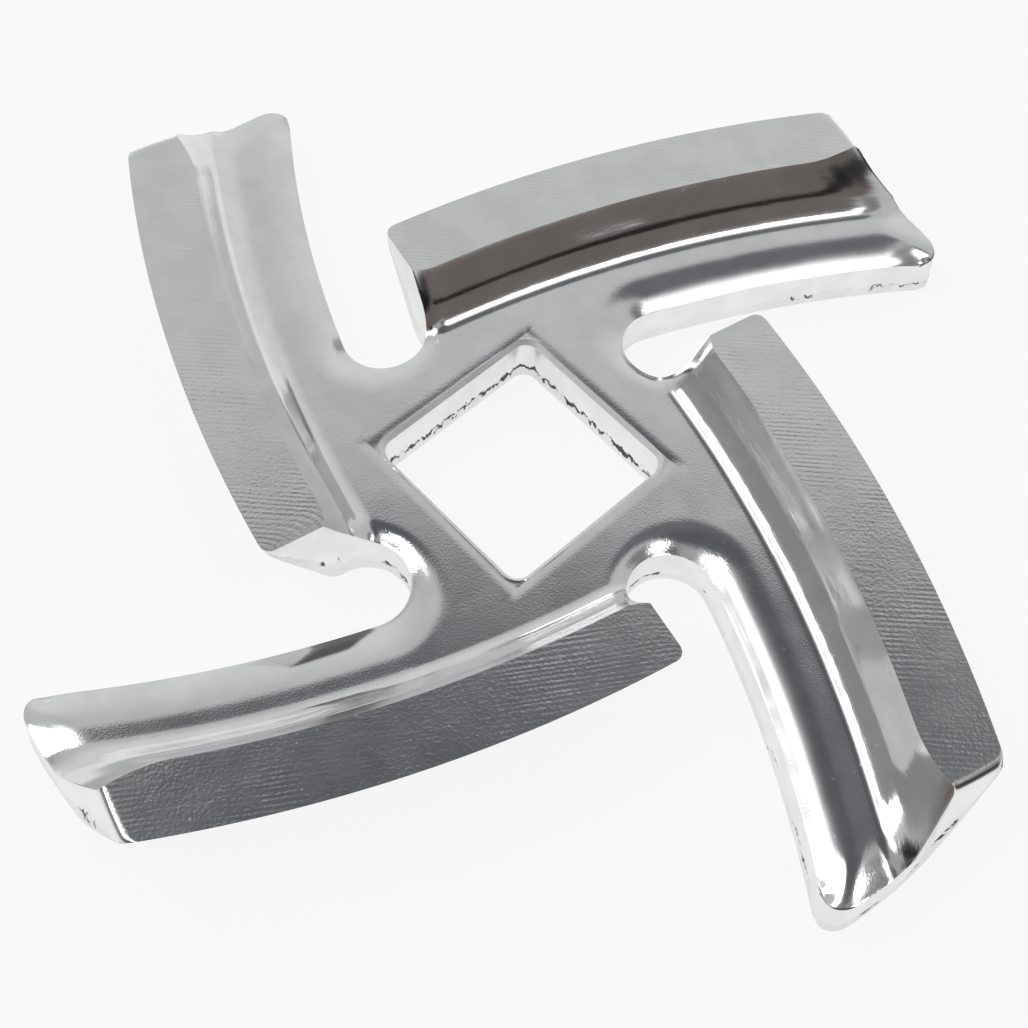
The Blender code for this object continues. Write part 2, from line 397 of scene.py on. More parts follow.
@dataclass
class MeshDraft:
    """Grids of points gathered as quads, with a surface kind and map values, before welding."""

    points: list[np.ndarray] = field(default_factory=list)
    maps: list[np.ndarray] = field(default_factory=list)
    quads: list[np.ndarray] = field(default_factory=list)
    kinds: list[np.ndarray] = field(default_factory=list)
    count: int = 0

    def add(self, rows: np.ndarray, map_rows: np.ndarray, surface: Surface) -> None:
        """Add quads between neighbouring rows of points.

        Args:
            rows: points as (rows, columns, 3).
            map_rows: a pair of map values for each point, as (rows, columns, 2).
            surface: the kind of surface that the quads are.
        """
        high, wide = rows.shape[:2]
        index = self.count + np.arange(high * wide).reshape(high, wide)
        corners = (index[:-1, :-1], index[:-1, 1:], index[1:, 1:], index[1:, :-1])
        quads = np.stack(corners, axis=-1).reshape(-1, 4)
        self.points.append(rows.reshape(-1, 3))
        self.maps.append(map_rows.reshape(-1, 2))
        self.quads.append(quads)
        self.kinds.append(np.full(len(quads), surface.value))
        self.count += high * wide

    def all_round(self) -> tuple[np.ndarray, np.ndarray, np.ndarray, np.ndarray]:
        """Turn the draft about the axis, once for each arm.

        Returns:
            The points, quads, surface kinds and map values of all the copies.
        """
        points, quads = np.concatenate(self.points), np.concatenate(self.quads)
        kinds, maps = np.concatenate(self.kinds), np.concatenate(self.maps)
        quarters = range(ARMS)
        copies = [np.column_stack((turned(points[:, :2], quarter), points[:, 2])) for quarter in quarters]
        shifted = [quads + quarter * len(points) for quarter in quarters]
        kinds, maps = np.tile(kinds, ARMS), np.tile(maps, (ARMS, 1))
        return np.concatenate(copies), np.concatenate(shifted), kinds, maps


@dataclass
class PressedKnife:
    """The knife: four arms round a hub with a square hole, all one piece of steel."""

    plan: ArmPlan = field(default_factory=ArmPlan)
    lip: LipForm = field(default_factory=LipForm)
    hole: DriveHole = field(default_factory=DriveHole)
    pitch: float = 0.17 * MM
    fine_pitch: float = 0.1 * MM
    foot_share: float = 0.75
    crease_shares: tuple[float, ...] = (-0.75, -0.5, -0.25, 0.25, 0.5, 0.75)
    border_lane: float = 0.06 * MM
    heel_shares: tuple[float, ...] = (0.004, 0.01)
    heel_key_share: float = 0.12
    arm_key_share: float = 0.75
    end_rows: int = 5
    gullet_steps: tuple[int, int] = (16, 34)
    hub_runs: tuple[tuple[float, float, int], ...] = ((0.0, 0.3, 12), (0.3, 0.8, 12), (0.8, 1.0, 10))
    line_points: int = 73
    wall_rows: int = 9
    weld: float = 0.002 * MM
    sharp_angle: float = math.radians(32)
    torn_height: float = 0.8 * MM
    torn_depth: float = 0.09 * MM
    torn_onset: float = 4.0
    torn_grain: float = 1.9
    wave_depth: float = 0.02 * MM
    wave_grain: float = 0.22
    hub_shift: Span = (0.0, 100.0)
    name: str = "knife_body"
    object: bpy.types.Object | None = None

    def __post_init__(self) -> None:
        """Work out the lanes and the lines of the rolled edges."""
        plan, lip = self.plan, self.lip
        foot_lane = blend(plan.heel_touch, plan.gullet_depth, self.foot_share)
        keys = [0.0, lip.land_width, lip.front_foot - lip.front_blend / lip.wall_slope, lip.underside_start]
        keys += [lip.crease - lip.crease_reach, lip.crease, lip.crease + lip.crease_reach, foot_lane]
        near = refined(sorted(keys), self.pitch)
        crease = [lip.crease + lip.crease_reach * share for share in self.crease_shares]
        border = [self.border_lane, lip.land_width - self.border_lane]
        near = np.unique(np.concatenate((near, crease, border)))
        back = refined([foot_lane, plan.width - lip.roll_width], self.pitch)
        edge = refined([plan.width - lip.roll_width, plan.width], self.fine_pitch)
        self.depths = np.concatenate((near, back[1:], edge[1:]))
        self.foot = len(near) - 1
        self.flat = int(np.argmin(np.abs(self.depths - lip.underside_start)))
        self.land = int(np.argmin(np.abs(self.depths - lip.land_width)))
        self.slots, self.tip = self.cut_lines()

    def rim_end(self, depth: np.ndarray) -> np.ndarray:
        """Angle at which lanes of the upper face end, on the rim of the leaning end face."""
        return self.plan.tip_end(depth) - self.lip.lean(depth) / self.plan.lead_radius

    def cut_lines(self) -> tuple[list[tuple[np.ndarray, np.ndarray, np.ndarray]], np.ndarray]:
        """The edges with a rolled border: the four slots and this arm's tip.

        Returns:
            Each slot's line from heel to tip, with the width and depth of the roll on its steps, and
            the tip's line.
        """
        plan, lip = self.plan, self.lip
        steps = np.linspace(0.0, 1.0, self.line_points)
        contact = plan.root_angle + 3 * math.pi / 2
        heel = plan.lane_point(plan.heel_angle, 0.0)[None]
        arc = plan.gullet_arc(plan.gullet, math.pi / 2 + plan.heel_angle, contact, steps)
        ends = blend(plan.root_angle, float(self.rim_end(np.array(plan.width))), steps[1:])
        slot = np.concatenate((heel, arc, turned(plan.lane_point(ends, plan.width), 1)))
        share = np.arange(len(slot) - 1) / len(arc)
        along = eased(np.clip((share - lip.narrow_share) / (1 - lip.narrow_share), 0.0, 1.0))
        reach = blend(lip.gullet_roll_width, lip.roll_width, along)
        fall = blend(lip.gullet_roll_depth, lip.roll_depth, along)
        tip = plan.lane_point(self.rim_end(plan.width * steps), plan.width * steps)
        return [(turned(slot, quarter), reach, fall) for quarter in range(ARMS)], tip

    def roll_at(self, plan: np.ndarray) -> np.ndarray:
        """How far the upper face is drawn in near the cut edges, square to itself.

        Args:
            plan: plan points as (..., 2).

        Returns:
            The drop at each point.
        """
        lip = self.lip
        share = lip.lip_share(self.plan.depth_of(plan))
        power = lip.roll_sharpness
        total = np.zeros(plan.shape[:-1])
        for line, reach, fall in self.slots:
            near = np.sqrt(fall) * np.maximum(0.0, 1 - line_distances(plan, line) / reach)
            total += near.max(-1) ** power
        width = blend(lip.roll_width, lip.lip_roll_width, share)
        depth = blend(lip.tip_roll_depth, lip.lip_roll_depth, share)
        near = np.maximum(0.0, 1 - line_distances(plan, self.tip).min(-1) / width)
        total += (np.sqrt(depth) * near) ** power
        return total ** (2 / power)

    def upper_points(self, plan: np.ndarray) -> np.ndarray:
        """Points of the upper face above plan points. The lip fades out by the gullet.

        Args:
            plan: plan points as (..., 2).

        Returns:
            The points as (..., 3).
        """
        gullet = self.plan.gullet
        side = (plan[..., 0] * gullet[1] - plan[..., 1] * gullet[0]) / np.hypot(*gullet)
        fade = eased(np.clip(side / self.plan.gullet_radius, 0.0, 1.0))
        drop = self.roll_at(plan)
        raised = self.lip.height(self.plan.depth_of(plan), drop)
        height = self.lip.plate + blend(-drop, raised, fade) - self.hole.roll_at(plan)
        return np.concatenate((plan, height[..., None]), axis=-1)

    def upper_row(self, place: Place, depths: np.ndarray, end_share: float) -> np.ndarray:
        """Points of the land and the upper face at one station.

        Args:
            place: gives the plan points at depths behind the leading edge.
            depths: the lanes.
            end_share: how far through the land's rounded outer border the station is.

        Returns:
            The row's points.
        """
        lip = self.lip
        end_drop = lip.end_roll_depth * end_share * end_share
        rolled = float(self.roll_at(place(np.array([lip.land_width])))[0])
        drop = rolled / math.sin(math.atan(lip.wall_slope))
        back = lip.land_width - max(0.0, drop - end_drop / lip.wall_slope)
        land = depths[: self.land + 1]
        shifted = blend(end_drop / lip.wall_slope, back, land / lip.land_width)
        level = np.full((len(land), 1), lip.plate + lip.land_height - end_drop)
        front = np.concatenate((place(shifted), level), axis=-1)
        behind = depths[self.land + 1 :]
        fading = np.clip(1 - (behind - lip.land_width) / (lip.crease - lip.land_width), 0.0, 1.0)
        gap = (lip.land_width - back) * fading
        return np.concatenate((front, self.upper_points(place(behind - gap))))

    def lower_row(self, place: Place, depths: np.ndarray, end_share: float) -> np.ndarray:
        """Points of the lower face at one station, which rises in front to the leading edge.

        Args:
            place: gives the plan points at depths behind the leading edge.
            depths: the lanes.
            end_share: how far through the land's rounded outer border the station is.

        Returns:
            The row's points.
        """
        lip = self.lip
        front = lip.end_roll_depth * end_share * end_share / lip.wall_slope
        share = np.minimum(1.0, depths / lip.underside_start)
        shifted = np.maximum(depths, blend(front, lip.underside_start, share))
        height = soft_max((lip.front_foot - shifted) * lip.wall_slope, 0.0, lip.front_blend)
        return np.concatenate((place(shifted), height[:, None]), axis=-1)

    @property
    def end_reach(self) -> float:
        """Angle that the land's rounded outer border takes up."""
        return self.lip.end_roll_width / self.plan.lead_radius

    def root_point(self, share: float, depth: np.ndarray) -> np.ndarray:
        """Plan points part way from the heel to the root."""
        return self.plan.lane_point(blend(self.plan.heel_end(depth), self.plan.root_angle, share), depth)

    def arm_point(self, end: Place, share: float, depth: np.ndarray) -> np.ndarray:
        """Plan points part way from the root to the land's outer border."""
        out = end(depth) - self.end_reach
        return self.plan.lane_point(blend(self.plan.root_angle, out, share), depth)

    def border_point(self, end: Place, share: float, depth: np.ndarray) -> np.ndarray:
        """Plan points part way through the land's outer border."""
        return self.plan.lane_point(end(depth) - self.end_reach * (1 - share), depth)

    def root_places(self) -> list[Station]:
        """Stations between heel and root.

        Returns:
            For each, a function from depths to plan points, and 0 as its share of the outer border.
        """
        length = (self.plan.root_angle - self.plan.heel_angle) * self.plan.lead_radius
        shares = refined([0.0, self.heel_key_share, 1.0], self.pitch / length)
        shares = np.unique(np.concatenate((shares, self.heel_shares)))
        return [(partial(self.root_point, share), 0.0) for share in shares]

    def arm_places(self, end: Place) -> list[Station]:
        """Stations from root to tip.

        Args:
            end: gives each lane's outer angle.

        Returns:
            For each, a function from depths to plan points, and its share of the outer border.
        """
        plan = self.plan
        length = (float(plan.tip_end(np.array(0.0))) - plan.root_angle) * plan.lead_radius
        body = refined([0.0, self.arm_key_share, 1.0], self.pitch / length)
        border = np.linspace(0.0, 1.0, self.end_rows + 1)[1:]
        places = [(partial(self.arm_point, end, share), 0.0) for share in body]
        return places + [(partial(self.border_point, end, share), share) for share in border]

    def lane_map(self, rows: np.ndarray) -> np.ndarray:
        """Map values of arm points.

        Args:
            rows: points as (..., 3).

        Returns:
            Distance along the lane and depth, in millimetres, as (..., 2).
        """
        plan = self.plan
        across, along = rows[..., 0] - plan.lead_x, rows[..., 1] - plan.lead_y
        run = np.arctan2(across, along) * plan.lead_radius
        return np.stack((run, plan.depth_of(rows[..., :2])), axis=-1) / MM

    def wall(self, draft: MeshDraft, top: np.ndarray, foot: np.ndarray) -> None:
        """Add a cut wall. Its map values are the run in millimetres and the share of the way down.

        Args:
            draft: the mesh in the making.
            top: points of the upper rim.
            foot: the points under them.
        """
        shares = np.linspace(0.0, 1.0, self.wall_rows)[:, None, None]
        rows = blend(top[None], foot[None], shares)
        lengths = np.linalg.norm(np.diff(top[:, :2], axis=0), axis=1)
        run = np.concatenate(([0.0], np.cumsum(lengths))) / MM
        maps = np.stack(np.broadcast_arrays(run[None, :], shares[..., 0]), axis=-1)
        draft.add(rows, maps, Surface.SHEARED)

    def hub_rows(self, foot_row: np.ndarray, root_column: np.ndarray) -> tuple[np.ndarray, list[int]]:
        """Points of the hub, in rows from the gullets and the lip's foot in to the hole.

        Args:
            foot_row: plan points of the lip's foot, from heel to root.
            root_column: plan points of the arm's root, from the lip's foot to the trailing edge.

        Returns:
            The rows' points, and the steps that face each part of the outline.
        """
        plan = self.plan
        gullet, after = plan.gullet, turned(plan.gullet, -1)
        start = math.atan2(foot_row[0][0] - gullet[0], foot_row[0][1] - gullet[1])
        low = math.atan2(-gullet[0], -gullet[1]) % (2 * math.pi)
        end = low - 3 * math.pi / 2
        first, last = self.gullet_steps
        counts = [first, len(foot_row) - 1, len(root_column) - 1, last]
        near = plan.gullet_arc(gullet, low, start, np.linspace(0.0, 1.0, first + 1))
        far = plan.gullet_arc(after, plan.root_angle, end, np.linspace(0.0, 1.0, last + 1))
        outer = np.concatenate((near[:-1], foot_row[:-1], root_column[:-1], far))
        rim = self.hole.path(counts, 0.0)
        shares = np.unique(np.concatenate([np.linspace(*run) for run in self.hub_runs]))
        return self.upper_points(blend(outer[None], rim[None], shares[:, None, None])), counts

    def draft_quarter(self) -> MeshDraft:
        """Draft one arm with its share of the hub: upper face, walls, hole and the lip's front.

        Returns:
            The draft. The flat underside is filled in later.
        """
        draft, land, flat, foot = MeshDraft(), self.land, self.flat, self.foot
        near, roots = self.depths[: foot + 1], self.root_places()
        uppers, lowers = self.arm_places(self.rim_end), self.arm_places(self.plan.tip_end)
        root_upper = np.array([self.upper_row(place, near, share) for place, share in roots])
        root_lower = np.array([self.lower_row(place, near, share) for place, share in roots])
        arm_upper = np.array([self.upper_row(place, self.depths, share) for place, share in uppers])
        arm_lower = np.array([self.lower_row(place, self.depths, share) for place, share in lowers])
        for rows, split in ((root_upper, len(root_upper)), (arm_upper, len(arm_upper) - self.end_rows)):
            maps = self.lane_map(rows)
            draft.add(rows[:split, : land + 1], maps[:split, : land + 1], Surface.GROUND)
            draft.add(rows[:, land:], maps[:, land:], Surface.PRESSED)
            if split < len(rows):
                draft.add(rows[split - 1 :, : land + 1], maps[split - 1 :, : land + 1], Surface.PRESSED)
        for rows in (root_lower[:, : flat + 1], arm_lower[:, : flat + 1]):
            draft.add(rows, self.lane_map(rows), Surface.UNDERSIDE)
        hub, counts = self.hub_rows(root_upper[:, -1, :2], arm_upper[0, foot:, :2])
        draft.add(hub, hub[..., :2] / MM + self.hub_shift, Surface.PRESSED)
        self.wall(draft, root_upper[0], root_lower[0])
        self.wall(draft, arm_upper[-1], arm_lower[-1])
        self.wall(draft, arm_upper[:, -1], arm_lower[:, -1])
        for rim in (hub[0, : counts[0] + 1], hub[0, -counts[3] - 1 :]):
            self.wall(draft, rim, rim * (1.0, 1.0, 0.0))
        rim = hub[-1]
        inner = np.column_stack((self.hole.path(counts, self.hole.chamfer), rim[:, 2] - self.hole.chamfer))
        bevel = np.stack((rim, inner))
        draft.add(bevel, bevel[..., :2] / MM + self.hub_shift, Surface.EDGE)
        self.wall(draft, inner, inner * (1.0, 1.0, 0.0))
        return draft

    def roughen(self, bm: bmesh.types.BMesh) -> None:
        """Make the pressed face a little uneven and tear the cut walls low down, always inwards.

        Args:
            bm: the welded mesh.
        """
        bm.normal_update()
        moves = []
        for vert in bm.verts:
            kinds = {face.material_index for face in vert.link_faces}
            place = vert.co / MM
            if kinds == {Surface.SHEARED.value}:
                low = max(0.0, 1 - vert.co.z / self.torn_height)
                torn = min(1.0, self.torn_onset * low) * abs(noise.noise(place * self.torn_grain))
                moves.append((vert, vert.normal * (-self.torn_depth * torn)))
            elif kinds == {Surface.PRESSED.value}:
                swell = 0.5 + 0.5 * noise.noise(place * self.wave_grain)
                moves.append((vert, vert.normal * (-self.wave_depth * swell)))
        for vert, move in moves:
            vert.co += move

    def build(self) -> bpy.types.Object:
        """Make the whole knife as one closed, smooth-shaded mesh object.

        Returns:
            The object.
        """
        points, quads, kinds, maps = self.draft_quarter().all_round()
        mesh = bpy.data.meshes.new(self.name)
        mesh.from_pydata(points.tolist(), [], quads.tolist())
        mesh.polygons.foreach_set("material_index", kinds.astype(np.int32))
        layer = mesh.uv_layers.new(name="lanes")
        corners = np.empty(len(mesh.loops), np.int32)
        mesh.loops.foreach_get("vertex_index", corners)
        layer.uv.foreach_set("vector", maps[corners].astype(np.float32).ravel())
        bm = bmesh.new()
        bm.from_mesh(mesh)
        bmesh.ops.remove_doubles(bm, verts=bm.verts, dist=self.weld)
        rim = [edge for edge in bm.edges if edge.is_boundary]
        filled = bmesh.ops.triangle_fill(bm, edges=rim, use_beauty=True, normal=(0.0, 0.0, -1.0))
        for face in filled["geom"]:
            if isinstance(face, bmesh.types.BMFace):
                face.material_index = Surface.UNDERSIDE.value
        bmesh.ops.recalc_face_normals(bm, faces=bm.faces)
        self.roughen(bm)
        bm.to_mesh(mesh)
        bm.free()
        mesh.shade_smooth()
        mesh.set_sharp_from_angle(angle=self.sharp_angle)
        self.object = bpy.data.objects.new(self.name, mesh)
        bpy.context.scene.collection.objects.link(self.object)
        return self.object

    def dress(self, finishes: list[bpy.types.Material]) -> None:
        """Give each kind of surface its material, in the order of Surface."""
        for material in finishes:
            self.object.data.materials.append(material)


@dataclass
class NodeSketch:
    """Short ways to add nodes to a tree."""

    tree: bpy.types.NodeTree

    def plug(self, socket: Socket, value: object) -> None:
        """Link an output to an input, or set the input's own value.

        Args:
            socket: the input.
            value: the output or the value.
        """
        if isinstance(value, Socket):
            self.tree.links.new(value, socket)
        else:
            socket.default_value = value

    def add(self, kind: str, options: dict[str, object], **inputs: object) -> bpy.types.Node:
        """Add a node.

        Args:
            kind: the node's type.
            options: the node's own settings.
            inputs: values or outputs for its inputs, by name with underscores, or as in_0, in_1.

        Returns:
            The node.
        """
        node = self.tree.nodes.new(kind)
        for name, value in options.items():
            setattr(node, name, value)
        for name, value in inputs.items():
            key = int(name[3:]) if name.startswith("in_") else name.replace("_", " ")
            self.plug(node.inputs[key], value)
        return node

    def group(self, tree: bpy.types.NodeTree, **inputs: object) -> bpy.types.Node:
        """Place a node group with its values."""
        return self.add("ShaderNodeGroup", {"node_tree": tree}, **inputs)

    def math(self, operation: str, *values: object) -> Socket:
        """Combine numbers or sockets with one arithmetic operation."""
        slots = {f"in_{index}": value for index, value in enumerate(values)}
        return self.add("ShaderNodeMath", {"operation": operation}, **slots).outputs[0]

    def product(self, *values: object) -> Socket:
        """Multiply sockets, masks mostly, with each other.

        Args:
            values: two or more sockets or numbers.

        Returns:
            The product.
        """
        result = values[0]
        for value in values[1:]:
            result = self.math("MULTIPLY", result, value)
        return result

    def ramp(self, value: Socket, low: float, high: float) -> Socket:
        """Smooth step from 0 at the low value to 1 at the high value.

        Args:
            value: what the step is read from.
            low: where it is 0. It may be the larger of the two.
            high: where it is 1.

        Returns:
            The step.
        """
        options = {"interpolation_type": "SMOOTHSTEP"}
        ends = {"From_Min": low, "From_Max": high}
        if low > high:
            ends = {"From_Min": high, "From_Max": low, "To_Min": 1.0, "To_Max": 0.0}
        return self.add("ShaderNodeMapRange", options, Value=value, **ends).outputs["Result"]

    def scaled(self, vector: Socket, scale: Triple) -> Socket:
        """Multiply a vector by a scale for each axis."""
        node = self.add("ShaderNodeVectorMath", {"operation": "MULTIPLY"}, in_0=vector, in_1=scale)
        return node.outputs[0]

    def parts(self, vector: Socket) -> tuple[Socket, Socket]:
        """The X and Y of a vector."""
        node = self.add("ShaderNodeSeparateXYZ", {}, Vector=vector)
        return node.outputs["X"], node.outputs["Y"]

    def noise(self, vector: Socket, grain: Socket | float, detail: Detail) -> Socket:
        """Noise between about 0 and 1, centred on a half. Grain is its bumps for each unit."""
        inputs = {"Vector": vector, "Scale": grain, "Detail": detail.value}
        return self.add("ShaderNodeTexNoise", {"noise_dimensions": "3D"}, **inputs).outputs[0]

    def mixed(self, share: object, first: object, second: object) -> Socket:
        """Mix two colours.

        Args:
            share: share of the second colour.
            first: a colour with its alpha, or a socket.
            second: the same.

        Returns:
            The mixed colour.
        """
        factor, colour_a, colour_b = 0, 6, 7
        node = self.add("ShaderNodeMix", {"data_type": "RGBA"})
        for index, value in ((factor, share), (colour_a, first), (colour_b, second)):
            self.plug(node.inputs[index], value)
        return node.outputs[2]


def new_group(name: str, inputs: dict[str, float], outputs: tuple[str, ...]) -> NodeSketch:
    """Start a shader node group with a Point input, further number inputs, and number outputs.

    Args:
        name: the group's name.
        inputs: names and default values of the number inputs.
        outputs: names of the outputs.

    Returns:
        A sketch of the new group.
    """
    group = bpy.data.node_groups.new(name, "ShaderNodeTree")
    group.interface.new_socket(name="Point", in_out="INPUT", socket_type="NodeSocketVector")
    for title, value in inputs.items():
        socket = group.interface.new_socket(name=title, in_out="INPUT", socket_type="NodeSocketFloat")
        socket.default_value = value
    for title in outputs:
        group.interface.new_socket(name=title, in_out="OUTPUT", socket_type="NodeSocketFloat")
    return NodeSketch(group)


@dataclass(frozen=True)
class TumbledSkin:
    """Fine dimples and small pits that tumbling leaves on steel. Lengths are millimetres."""

    depth: float = 0.004
    grain: float = 4.0
    sway_grain: float = 0.35
    sway_span: Span = (0.3, 0.7)
    speck_grain: float = 3.1
    speck_span: Span = (0.68, 0.76)

    def group(self) -> bpy.types.NodeTree:
        """Make the node group, which gives the dimples' height and a mask of the pits.

        Returns:
            The group.
        """
        sketch = new_group("tumbled_skin", {"Depth": self.depth, "Grain": self.grain}, ("Height", "Specks"))
        start, end = sketch.add("NodeGroupInput", {}), sketch.add("NodeGroupOutput", {})
        point, depth = start.outputs["Point"], start.outputs["Depth"]
        dimples = sketch.noise(point, start.outputs["Grain"], Detail.PLAIN)
        sway = sketch.ramp(sketch.noise(point, self.sway_grain, Detail.PLAIN), *self.sway_span)
        strength = sketch.math("ADD", sketch.product(sway, depth), depth)
        sketch.plug(end.inputs["Height"], sketch.product(dimples, strength))
        specks = sketch.ramp(sketch.noise(point, self.speck_grain, Detail.LIGHT), *self.speck_span)
        sketch.plug(end.inputs["Specks"], specks)
        return sketch.tree


@dataclass(frozen=True)
class PressWaves:
    """Low unevenness that pressing leaves. Lengths are millimetres."""

    depth: float = 0.01
    grain: float = 0.45

    def group(self) -> bpy.types.NodeTree:
        """Make the node group, which gives the waves' height.

        Returns:
            The group.
        """
        sketch = new_group("press_waves", {"Depth": self.depth, "Grain": self.grain}, ("Height",))
        start, end = sketch.add("NodeGroupInput", {}), sketch.add("NodeGroupOutput", {})
        wave = sketch.noise(start.outputs["Point"], start.outputs["Grain"], Detail.PLAIN)
        sketch.plug(end.inputs["Height"], sketch.product(wave, start.outputs["Depth"]))
        return sketch.tree


@dataclass
class SteelLayers:
    """A steel material in the making: places to read marks from, and what the marks change.

    The point is the place on the knife in millimetres. The lanes give the distance along the lane
    and the depth behind the leading edge, or on a cut wall the run and the share of the way down.
    """

    sketch: NodeSketch
    point: Socket
    lanes: Socket
    specks: Socket
    height: Socket
    colour: Socket | None = None
    roughness: Socket | None = None


@dataclass(frozen=True)
class SteelFinish:
    """What the finishes of the knife's steel share. Lengths in the shader are millimetres."""

    name: str
    colour: Triple
    roughness: float
    skin_depth: float
    skin_grain: float
    wave_depth: float
    skin: bpy.types.NodeTree
    waves: bpy.types.NodeTree
    tone_grain: float = 0.6
    tone_span: Span = (0.35, 0.65)
    tone_roughness: float = 0.05
    dull_share: float = 0.93
    pit_roughness: float = 0.12

    def material(self) -> bpy.types.Material:
        """Make the material.

        Returns:
            The material.
        """
        material = bpy.data.materials.new(self.name)
        material.use_nodes = True
        sketch = NodeSketch(material.node_tree)
        shader = material.node_tree.nodes["Principled BSDF"]
        shader.inputs["Metallic"].default_value = 1.0
        place = sketch.add("ShaderNodeTexCoord", {})
        point, lanes = sketch.scaled(place.outputs["Object"], (1 / MM,) * 3), place.outputs["UV"]
        skin = sketch.group(self.skin, Point=point, Depth=self.skin_depth, Grain=self.skin_grain)
        waves = sketch.group(self.waves, Point=point, Depth=self.wave_depth)
        dimples = sketch.product(skin.outputs["Height"], self.open_skin(sketch, lanes))
        height = sketch.math("ADD", dimples, waves.outputs["Height"])
        layers = SteelLayers(sketch, point, lanes, skin.outputs["Specks"], height)
        self.marks(layers)
        bump = sketch.add("ShaderNodeBump", {}, Strength=1.0, Distance=MM, Height=layers.height)
        sketch.plug(shader.inputs["Normal"], bump.outputs["Normal"])
        sketch.plug(shader.inputs["Base Color"], layers.colour)
        sketch.plug(shader.inputs["Roughness"], layers.roughness)
        return material

    def open_skin(self, sketch: NodeSketch, lanes: Socket) -> Socket | float:
        """Share of the dimples that is left, which is all of them unless a finish says otherwise."""
        return 1.0

    def marks(self, layers: SteelLayers) -> None:
        """Give the steel its tone. Finishes with marks of their own add them after it.

        Args:
            layers: the material in the making.
        """
        sketch = layers.sketch
        tone = sketch.noise(layers.point, self.tone_grain, Detail.RICH)
        dull = tuple(channel * self.dull_share for channel in self.colour)
        layers.colour = sketch.mixed(sketch.ramp(tone, *self.tone_span), (*dull, 1.0), (*self.colour, 1.0))
        pitted = sketch.math("MULTIPLY_ADD", layers.specks, self.pit_roughness, self.roughness)
        layers.roughness = sketch.math("MULTIPLY_ADD", tone, self.tone_roughness, pitted)


@dataclass(frozen=True)
class PressedFinish(SteelFinish):
    """The pressed upper face, with draw lines along the lip and fewer dimples where the die rubbed.

    The spans are depths behind the leading edge.
    """

    burnish: float = 0.8
    lip_end: Span = (5.15, 4.85)
    border_start: Span = (6.2, 6.6)
    border_end: Span = (9.0, 8.0)
    line_depth: float = 0.006
    line_grain: float = 4.5
    line_stretch: Triple = (0.16, 1.0, 1.0)
    lines_start: Span = (3.0, 3.6)
    lines_end: Span = (4.9, 4.4)

    def open_skin(self, sketch: NodeSketch, lanes: Socket) -> Socket:
        """Leave fewer dimples on the lip, its foot and the rolled border, which the die has burnished.

        Args:
            sketch: the material's nodes.
            lanes: distance along the lane and depth behind the leading edge.

        Returns:
            Share of the dimples that is left.
        """
        depth = sketch.parts(lanes)[1]
        lip = sketch.ramp(depth, *self.lip_end)
        border = sketch.product(sketch.ramp(depth, *self.border_start), sketch.ramp(depth, *self.border_end))
        return sketch.math("MULTIPLY_ADD", sketch.math("MAXIMUM", lip, border), -self.burnish, 1.0)

    def marks(self, layers: SteelLayers) -> None:
        """Add draw lines on the lip's wall and ramp.

        Args:
            layers: the material in the making.
        """
        super().marks(layers)
        sketch = layers.sketch
        depth = sketch.parts(layers.lanes)[1]
        on_lip = sketch.product(sketch.ramp(depth, *self.lines_start), sketch.ramp(depth, *self.lines_end))
        streaks = sketch.noise(sketch.scaled(layers.lanes, self.line_stretch), self.line_grain, Detail.RICH)
        layers.height = sketch.math("ADD", layers.height, sketch.product(streaks, on_lip, self.line_depth))


@dataclass(frozen=True)
class GroundFinish(SteelFinish):
    """Ground steel of the lands and the underside, with straight lines in the wheel's direction.

    The lines are even waves at the pitch in places, and fine scratches everywhere.
    """

    line_turn: float = math.radians(-46)
    second_turn: float = math.radians(13)
    second_x: Span = (0.0, -3.0)
    second_y: Span = (3.0, 0.0)
    line_depth: float = 0.003
    line_pitch: float = 0.22
    wave_share: float = 0.35
    drift_share: float = 0.4
    drift_stretch: Triple = (0.12, 0.6, 1.0)
    patch_grain: float = 0.22
    patch_span: Span = (0.4, 0.62)
    scratch_stretch: Triple = (0.5, 9.0, 1.0)

    def wheel_turn(self, sketch: NodeSketch, point: Socket) -> Socket:
        """Angle that lays the wheel's lines level. One arm was ground with the wheel a little turned.

        Args:
            sketch: the material's nodes.
            point: place on the knife.

        Returns:
            The angle.
        """
        x, y = sketch.parts(point)
        arm = sketch.product(sketch.ramp(x, *self.second_x), sketch.ramp(y, *self.second_y))
        return sketch.math("MULTIPLY_ADD", arm, -self.second_turn, -self.line_turn)

    def marks(self, layers: SteelLayers) -> None:
        """Add the grinding lines.

        Args:
            layers: the material in the making.
        """
        super().marks(layers)
        sketch, point = layers.sketch, layers.point
        turn = {"Vector": point, "Angle": self.wheel_turn(sketch, point)}
        level = sketch.add("ShaderNodeVectorRotate", {"rotation_type": "Z_AXIS"}, **turn).outputs[0]
        drift = sketch.noise(sketch.scaled(level, self.drift_stretch), 1.0, Detail.LIGHT)
        phase = sketch.math("MULTIPLY_ADD", drift, self.drift_share, sketch.parts(level)[1])
        wave = sketch.math("SINE", sketch.product(phase, 2 * math.pi / self.line_pitch))
        patches = sketch.ramp(sketch.noise(point, self.patch_grain, Detail.PLAIN), *self.patch_span)
        scratches = sketch.noise(sketch.scaled(level, self.scratch_stretch), 1.0, Detail.RICH)
        lines = sketch.math("ADD", sketch.product(wave, self.wave_share, patches), scratches)
        layers.height = sketch.math("ADD", layers.height, sketch.product(lines, self.line_depth))


